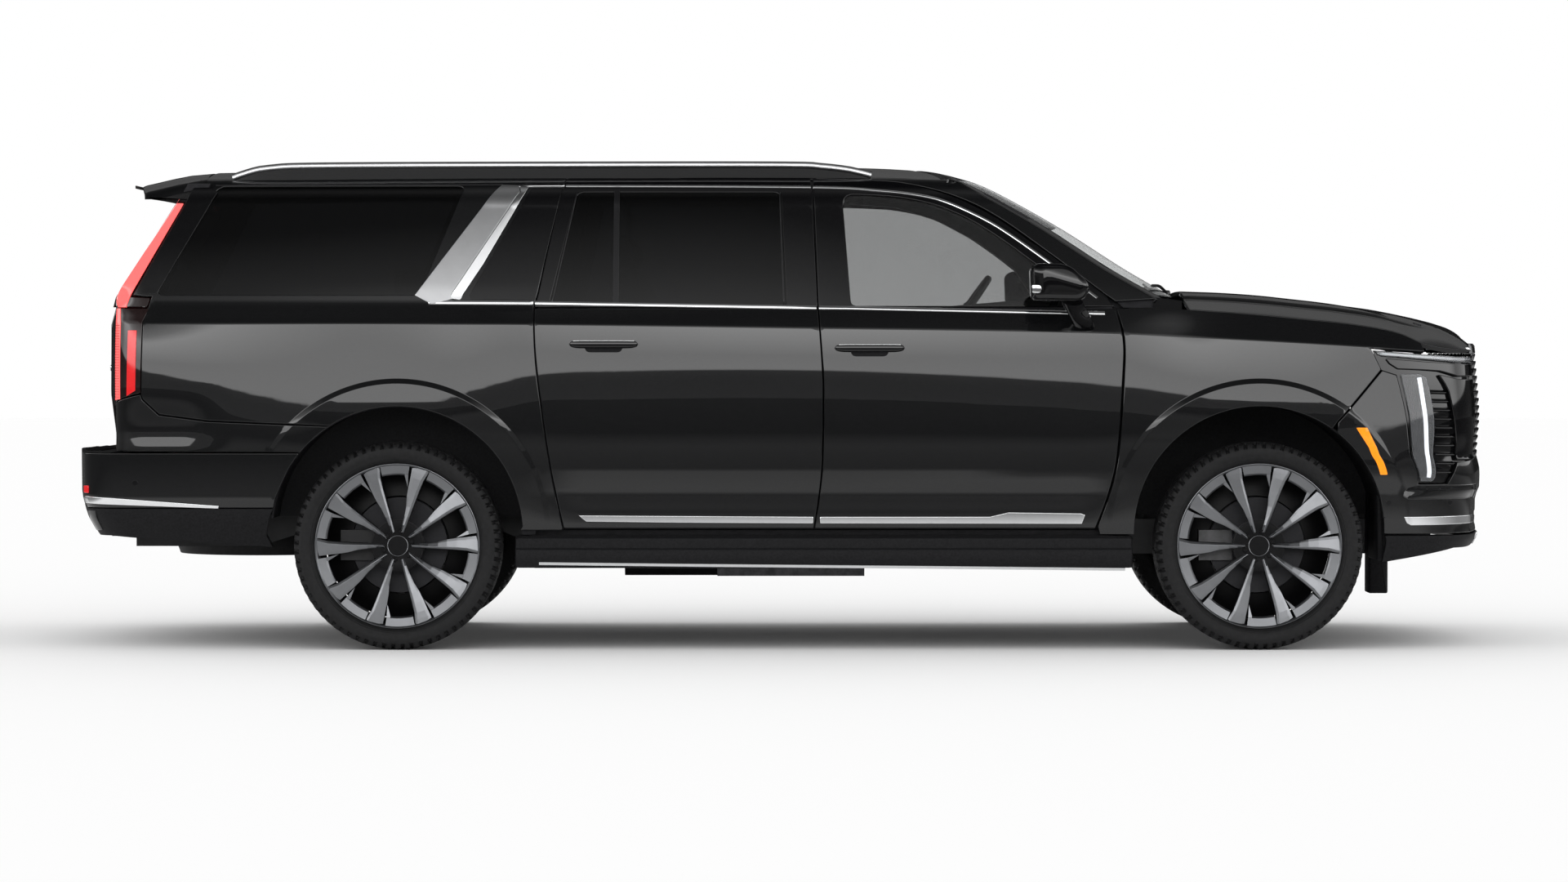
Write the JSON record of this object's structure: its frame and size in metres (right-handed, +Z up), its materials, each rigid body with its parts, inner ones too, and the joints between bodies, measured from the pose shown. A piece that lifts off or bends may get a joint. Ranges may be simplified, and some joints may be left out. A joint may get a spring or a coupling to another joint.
{
  "type": "full-size suv",
  "caption": "Long black full-size SUV on a ladder frame, with hinged doors, hood and liftgate, steered front wheels and rolling wheels.",
  "frame": {"origin": "on the ground, midway along the car and on its centre plane", "axes": "+X forward, +Y to the left, +Z up"},
  "size_m": [5.7647, 2.46, 1.9423],
  "materials": {
    "body_paint": "deep black clear-coated paint",
    "gloss_black": "gloss black",
    "cladding": "grained black",
    "clear_glass": "lightly tinted",
    "tinted_glass": "dark privacy tint",
    "lamp_clear": "clear lens over a dark housing",
    "lamp_red": "red lens",
    "bright_trim": "satin bright",
    "alloy": "machined face with dark pockets",
    "tyre_rubber": "black tread rubber",
    "chassis": "black wax-coated steel",
    "cast_metal": "bare casting",
    "cabin_trim": "soft-touch dark trim",
    "seat_leather": "dark leather"
  },
  "bodies": {
    "root": {"body_sides": "body_paint", "roof_panel": "body_paint", "fixed_glass": "clear_glass", "front_fenders": "body_paint", "front_bumper": "body_paint", "grille": "gloss_black", "headlamps": "lamp_clear", "tail_lamps": "lamp_red", "rear_bumper": "body_paint", "frame_rails": "chassis", "floor_pan": "chassis", "engine_block": "cast_metal", "fuel_tank": "chassis", "exhaust": "chassis", "front_suspension": "chassis", "rear_suspension": "chassis", "spare_wheel": "tyre_rubber", "seats": "seat_leather", "dashboard": "cabin_trim", "running_boards": "cladding", "roof_rails": "bright_trim", "wheel_liners": "cladding"},
    "steering_wheel": {"steering_wheel": "cabin_trim"},
    "hood": {"hood": "body_paint"},
    "liftgate": {"liftgate": "body_paint", "liftgate_glass": "tinted_glass"},
    "door_front_right": {"door_front_right": "body_paint", "door_front_glass_right": "clear_glass", "mirror_right": "body_paint"},
    "door_rear_right": {"door_rear_right": "body_paint", "door_rear_glass_right": "tinted_glass"},
    "knuckle_right": {"knuckle_right": "cast_metal"},
    "wheel_front_right": {"wheel_front_right": "alloy", "tyre_front_right": "tyre_rubber"},
    "wheel_rear_right": {"wheel_rear_right": "alloy", "tyre_rear_right": "tyre_rubber"},
    "door_front_left": {"door_front_left": "body_paint", "door_front_glass_left": "clear_glass", "mirror_left": "body_paint"},
    "door_rear_left": {"door_rear_left": "body_paint", "door_rear_glass_left": "tinted_glass"},
    "knuckle_left": {"knuckle_left": "cast_metal"},
    "wheel_front_left": {"wheel_front_left": "alloy", "tyre_front_left": "tyre_rubber"},
    "wheel_rear_left": {"wheel_rear_left": "alloy", "tyre_rear_left": "tyre_rubber"}
  },
  "joints": [
    {"name": "door_front_right_swing", "type": "hinge", "parent": "root", "child": "door_front_right", "pos_m": [1.36, -1.0128, 0.95], "axis": [0, 0, 1], "range_deg": [0, 65]},
    {"name": "door_rear_right_swing", "type": "hinge", "parent": "root", "child": "door_rear_right", "pos_m": [0.1755, -1.0182, 0.95], "axis": [0, 0, 1], "range_deg": [0, 68]},
    {"name": "steer_right", "type": "hinge", "parent": "root", "child": "knuckle_right", "pos_m": [1.901, -0.795, 0.41], "axis": [0, 0, 1], "range_deg": [-34, 34]},
    {"name": "wheel_front_right_spin", "type": "hinge", "parent": "knuckle_right", "child": "wheel_front_right", "pos_m": [1.901, -0.8725, 0.41], "axis": [0, 1, 0], "continuous": true},
    {"name": "wheel_rear_right_spin", "type": "hinge", "parent": "root", "child": "wheel_rear_right", "pos_m": [-1.506, -0.8725, 0.41], "axis": [0, 1, 0], "continuous": true},
    {"name": "door_front_left_swing", "type": "hinge", "parent": "root", "child": "door_front_left", "pos_m": [1.36, 1.0128, 0.95], "axis": [0, 0, -1], "range_deg": [0, 65]},
    {"name": "door_rear_left_swing", "type": "hinge", "parent": "root", "child": "door_rear_left", "pos_m": [0.1755, 1.0182, 0.95], "axis": [0, 0, -1], "range_deg": [0, 68]},
    {"name": "steer_left", "type": "hinge", "parent": "root", "child": "knuckle_left", "pos_m": [1.901, 0.795, 0.41], "axis": [0, 0, 1], "range_deg": [-34, 34]},
    {"name": "wheel_front_left_spin", "type": "hinge", "parent": "knuckle_left", "child": "wheel_front_left", "pos_m": [1.901, 0.8725, 0.41], "axis": [0, 1, 0], "continuous": true},
    {"name": "wheel_rear_left_spin", "type": "hinge", "parent": "root", "child": "wheel_rear_left", "pos_m": [-1.506, 0.8725, 0.41], "axis": [0, 1, 0], "continuous": true},
    {"name": "hood_lift", "type": "hinge", "parent": "root", "child": "hood", "pos_m": [1.652, 0, 1.421], "axis": [0, -1, 0], "range_deg": [0, 50]},
    {"name": "liftgate_lift", "type": "hinge", "parent": "root", "child": "liftgate", "pos_m": [-2.318, 0, 1.911], "axis": [0, 1, 0], "range_deg": [0, 80]},
    {"name": "steering_wheel_turn", "type": "hinge", "parent": "root", "child": "steering_wheel", "pos_m": [0.78, 0.4, 1.335], "axis": [-0.8192, 0, 0.5736], "range_deg": [-510, 510]}
  ],
  "couplings": [
    {"joint": "steer_left", "follows": "steer_right", "ratio": 1},
    {"joint": "steering_wheel_turn", "follows": "steer_right", "ratio": 15}
  ]
}
